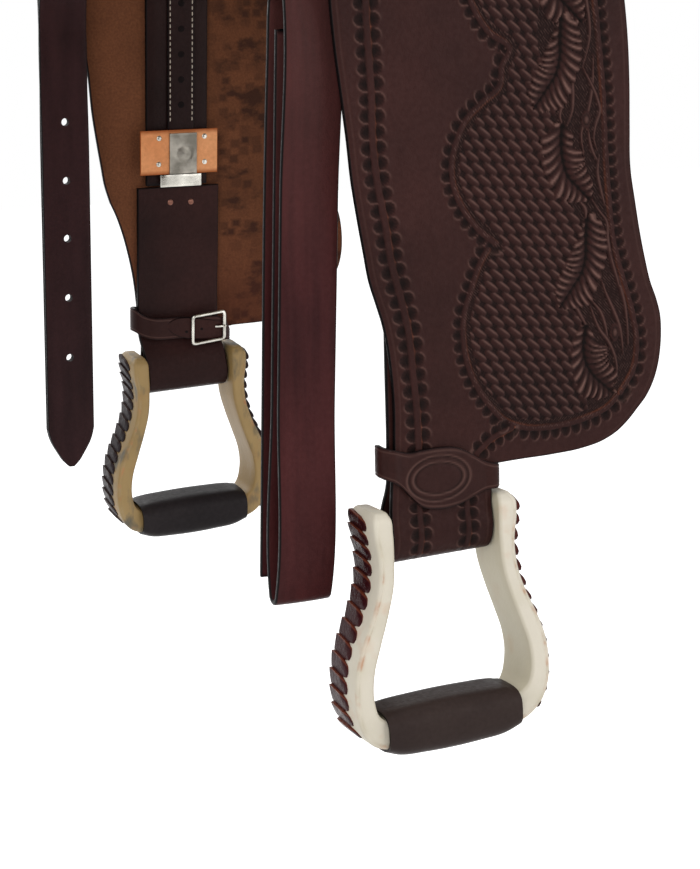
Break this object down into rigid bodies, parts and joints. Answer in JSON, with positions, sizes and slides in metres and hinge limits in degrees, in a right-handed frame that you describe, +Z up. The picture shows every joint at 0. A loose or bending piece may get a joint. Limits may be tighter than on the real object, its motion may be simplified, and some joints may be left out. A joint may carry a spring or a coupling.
{
  "type": "team roping saddle",
  "caption": "Western roping saddle with horn, high cantle, square skirts, tooled fenders with buckled leathers, rawhide stirrups, cinch latigo and billets.",
  "frame": {"origin": "on the centre line, on the horse's back at the stirrup line of the tree", "axes": "+X towards the horse's head, +Y to the near (left) side, +Z up"},
  "size_m": [0.716, 0.629, 1.0496],
  "materials": {
    "brown_leather": "semi-gloss oiled leather",
    "latigo_leather": "oiled, reddish brown",
    "suede": "rough-out suede",
    "sheepskin": "woolly sheepskin",
    "rawhide": "smooth hard rawhide",
    "tread_leather": "smooth dark leather",
    "wood": "bare wood",
    "steel": "satin stainless steel",
    "tan_leather": "natural tan leather",
    "rubber": "matte rubber"
  },
  "bodies": {
    "saddle": {"fork": "wood", "swell_cover": "brown_leather", "horn_core": "steel", "horn_wrap": "rubber", "horn_cap": "brown_leather", "cantle": "wood", "cantle_back": "brown_leather", "cantle_roll": "brown_leather", "seat": "suede", "ground_seat": "brown_leather", "fleece_near": "sheepskin", "fleece_off": "sheepskin", "skirt_near": "brown_leather", "skirt_off": "brown_leather", "tree_bar_near": "wood", "tree_bar_off": "wood", "stirrup_loop_near": "brown_leather", "stirrup_loop_off": "brown_leather", "seat_jockey_near": "brown_leather", "seat_jockey_off": "brown_leather", "rear_jockey_near": "brown_leather", "rear_jockey_off": "brown_leather", "front_rigging_near": "brown_leather", "front_rigging_off": "brown_leather", "rear_rigging_near": "brown_leather", "rear_rigging_off": "brown_leather", "front_dee_near": "steel", "front_dee_off": "steel", "rear_dee_near": "steel", "rear_dee_off": "steel"},
    "latigo": {"latigo": "latigo_leather"},
    "off_billet": {"off_billet": "latigo_leather"},
    "fender_near": {"fender_near": "brown_leather", "stirrup_leather_near": "brown_leather", "buckle_strap_near": "brown_leather", "buckle_plate_near": "steel", "hobble_strap_near": "brown_leather", "hobble_end_near": "brown_leather", "hobble_buckle_near": "steel"},
    "fender_off": {"fender_off": "brown_leather", "stirrup_leather_off": "brown_leather", "buckle_strap_off": "brown_leather", "buckle_plate_off": "steel", "hobble_strap_off": "brown_leather", "hobble_end_off": "brown_leather", "hobble_buckle_off": "steel"},
    "buckle_slide_near": {"buckle_keeper_near": "tan_leather", "buckle_sleeve_near": "steel"},
    "buckle_slide_off": {"buckle_keeper_off": "tan_leather", "buckle_sleeve_off": "steel"},
    "stirrup_near": {"stirrup_near": "rawhide", "stirrup_bolt_near": "steel", "tread_wrap_near": "tread_leather"},
    "stirrup_off": {"stirrup_off": "rawhide", "stirrup_bolt_off": "steel", "tread_wrap_off": "tread_leather"},
    "flank_billet_near": {"flank_billet_near": "brown_leather"},
    "flank_billet_off": {"flank_billet_off": "brown_leather"},
    "breast_dee_near": {"breast_dee_near": "steel"},
    "breast_dee_off": {"breast_dee_off": "steel"}
  },
  "joints": [
    {"name": "latigo_hinge", "type": "hinge", "parent": "saddle", "child": "latigo", "pos_m": [0.103, 0.2445, -0.251], "axis": [0, -1, 0], "range_deg": [-4, 15]},
    {"name": "off_billet_hinge", "type": "hinge", "parent": "saddle", "child": "off_billet", "pos_m": [0.103, -0.2445, -0.251], "axis": [0, -1, 0], "range_deg": [-10, 15]},
    {"name": "fender_swing_near", "type": "hinge", "parent": "saddle", "child": "fender_near", "pos_m": [0.0125, 0.25417, -0.15], "axis": [0, -1, 0], "range_deg": [-8, 12]},
    {"name": "fender_swing_off", "type": "hinge", "parent": "saddle", "child": "fender_off", "pos_m": [-0.0125, -0.25417, -0.15], "axis": [0, -1, 0], "range_deg": [-8, 10]},
    {"name": "buckle_slide_near", "type": "slide", "parent": "fender_near", "child": "buckle_slide_near", "axis": [0, -0.0576, 0.9983], "range_m": [0, 0.025]},
    {"name": "buckle_slide_off", "type": "slide", "parent": "fender_off", "child": "buckle_slide_off", "axis": [0, 0.0576, 0.9983], "range_m": [0, 0.025]},
    {"name": "stirrup_hinge_near", "type": "hinge", "parent": "fender_near", "child": "stirrup_near", "pos_m": [0.0125, 0.2832, -0.6535], "axis": [0.9995, 0, -0.0332], "range_deg": [-8, 30]},
    {"name": "stirrup_hinge_off", "type": "hinge", "parent": "fender_off", "child": "stirrup_off", "pos_m": [-0.0125, -0.2832, -0.6535], "axis": [0.9995, 0, -0.0332], "range_deg": [-30, 8]},
    {"name": "flank_billet_hinge_near", "type": "hinge", "parent": "saddle", "child": "flank_billet_near", "pos_m": [-0.3, 0.2445, -0.251], "axis": [0, -1, 0], "range_deg": [-15, 15]},
    {"name": "flank_billet_hinge_off", "type": "hinge", "parent": "saddle", "child": "flank_billet_off", "pos_m": [-0.3, -0.2445, -0.251], "axis": [0, -1, 0], "range_deg": [-15, 15]},
    {"name": "breast_dee_hinge_near", "type": "hinge", "parent": "saddle", "child": "breast_dee_near", "pos_m": [0.168, 0.19376, -0.12448], "axis": [1, 0, 0], "range_deg": [0, 70]},
    {"name": "breast_dee_hinge_off", "type": "hinge", "parent": "saddle", "child": "breast_dee_off", "pos_m": [0.168, -0.19376, -0.12448], "axis": [1, 0, 0], "range_deg": [-70, 0]}
  ]
}
